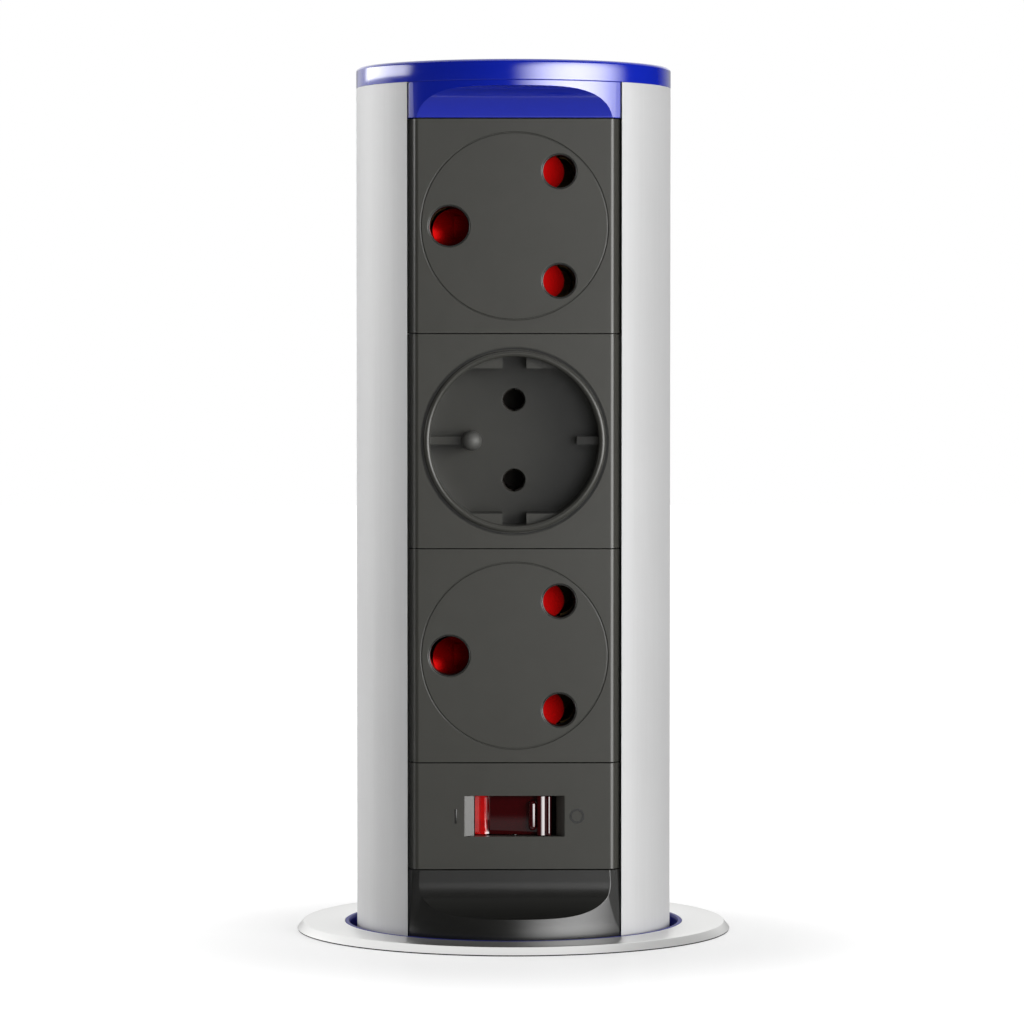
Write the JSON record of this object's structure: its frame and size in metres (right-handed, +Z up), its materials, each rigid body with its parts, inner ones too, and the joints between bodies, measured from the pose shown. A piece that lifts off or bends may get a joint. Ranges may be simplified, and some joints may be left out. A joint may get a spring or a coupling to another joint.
{
  "type": "pop up desk socket",
  "caption": "Round socket column that slides up through a desk collar, with shuttered round pin sockets, a recessed European socket and a lit rocker switch.",
  "frame": {"origin": "centre of the flange's underside, on the desk surface and the column's axis", "axes": "+Z up along the column, the sockets face -Y, +X to the right seen from the front; the column is raised"},
  "size_m": [0.108, 0.108, 0.2917],
  "materials": {
    "anodised_aluminium": "satin anodised",
    "brushed_collar": "circular brushed",
    "zinc_steel": "bright zinc",
    "screw_steel": "bright zinc",
    "spring_steel": "drawn wire",
    "blue_clear": "translucent gloss",
    "blue_liner": "translucent gloss",
    "dark_grey_plastic": "fine matt moulded",
    "dark_pin": "dark nickel",
    "red_shutter": "satin moulded",
    "red_clear": "transparent gloss",
    "neon_glass": "clear tube",
    "black_plastic": "matt moulded",
    "black_rubber": "matt",
    "grey_felt": "dense felt",
    "contact_brass": "rolled",
    "bar_copper": "rolled copper",
    "cream_plastic": "matt moulded"
  },
  "bodies": {
    "collar": {"flange_ring": "brushed_collar", "flange_gasket": "black_rubber", "liner_ring": "blue_liner", "threaded_sleeve": "black_plastic", "friction_pads": "grey_felt"},
    "column": {"column_profile": "anodised_aluminium", "cap_plate": "zinc_steel", "cap_screws": "screw_steel", "cap_disc": "blue_clear", "grip_insert": "blue_clear", "top_face": "dark_grey_plastic", "top_shutter_spring": "spring_steel", "top_housing": "black_plastic", "top_cover": "black_plastic", "top_line_contact": "contact_brass", "top_neutral_contact": "contact_brass", "top_earth_contact": "contact_brass", "mid_face": "dark_grey_plastic", "mid_earth_pin": "dark_pin", "mid_line_contact": "contact_brass", "mid_neutral_contact": "contact_brass", "mid_housing": "black_plastic", "mid_cover": "black_plastic", "low_face": "dark_grey_plastic", "low_shutter_spring": "spring_steel", "low_housing": "black_plastic", "low_cover": "black_plastic", "low_line_contact": "contact_brass", "low_neutral_contact": "contact_brass", "low_earth_contact": "contact_brass", "switch_face": "dark_grey_plastic", "switch_body": "black_plastic", "switch_cover": "black_plastic", "switch_terminals": "contact_brass", "end_scoop": "dark_grey_plastic", "module_screws": "screw_steel", "line_bar": "bar_copper", "neutral_bar": "bar_copper", "earth_bar": "bar_copper", "terminal_block": "cream_plastic", "terminal_screws": "contact_brass", "foot_plate": "black_plastic", "foot_screws": "screw_steel", "gland_body": "black_plastic", "gland_locknut": "black_plastic", "gland_seal": "black_rubber", "gland_cap": "black_plastic"},
    "clamp_washer": {"clamp_washer": "zinc_steel"},
    "clamp_nut": {"clamp_nut": "black_plastic"},
    "rocker": {"rocker": "red_clear", "rocker_lamp": "neon_glass"},
    "top_shutter": {"top_shutter": "red_shutter"},
    "low_shutter": {"low_shutter": "red_shutter"}
  },
  "joints": [
    {"name": "column_lift", "type": "slide", "parent": "collar", "child": "column", "axis": [0, 0, 1], "range_m": [-0.19, 0]},
    {"name": "rocker_tilt", "type": "hinge", "parent": "column", "child": "rocker", "pos_m": [0, -0.0235, 0.02985], "axis": [0, 0, 1], "range_deg": [0, 16]},
    {"name": "top_shutter_slide", "type": "slide", "parent": "column", "child": "top_shutter", "axis": [1, 0, 0], "range_m": [0, 0.0086], "stiffness_N_per_m": 60, "springref_m": -0.008, "deforming": ["top_shutter_spring"]},
    {"name": "low_shutter_slide", "type": "slide", "parent": "column", "child": "low_shutter", "axis": [1, 0, 0], "range_m": [0, 0.0086], "stiffness_N_per_m": 60, "springref_m": -0.008, "deforming": ["low_shutter_spring"]},
    {"name": "nut_turn", "type": "hinge", "parent": "clamp_washer", "child": "clamp_nut", "pos_m": [0, 0, 0], "axis": [0, 0, 1], "range_deg": [-1980, 1530]},
    {"name": "washer_slide", "type": "slide", "parent": "collar", "child": "clamp_washer", "axis": [0, 0, 1], "range_m": [-0.0221, 0.0171]}
  ],
  "couplings": [
    {"joint": "washer_slide", "follows": "nut_turn", "m_per_rad": 0.00063662}
  ]
}
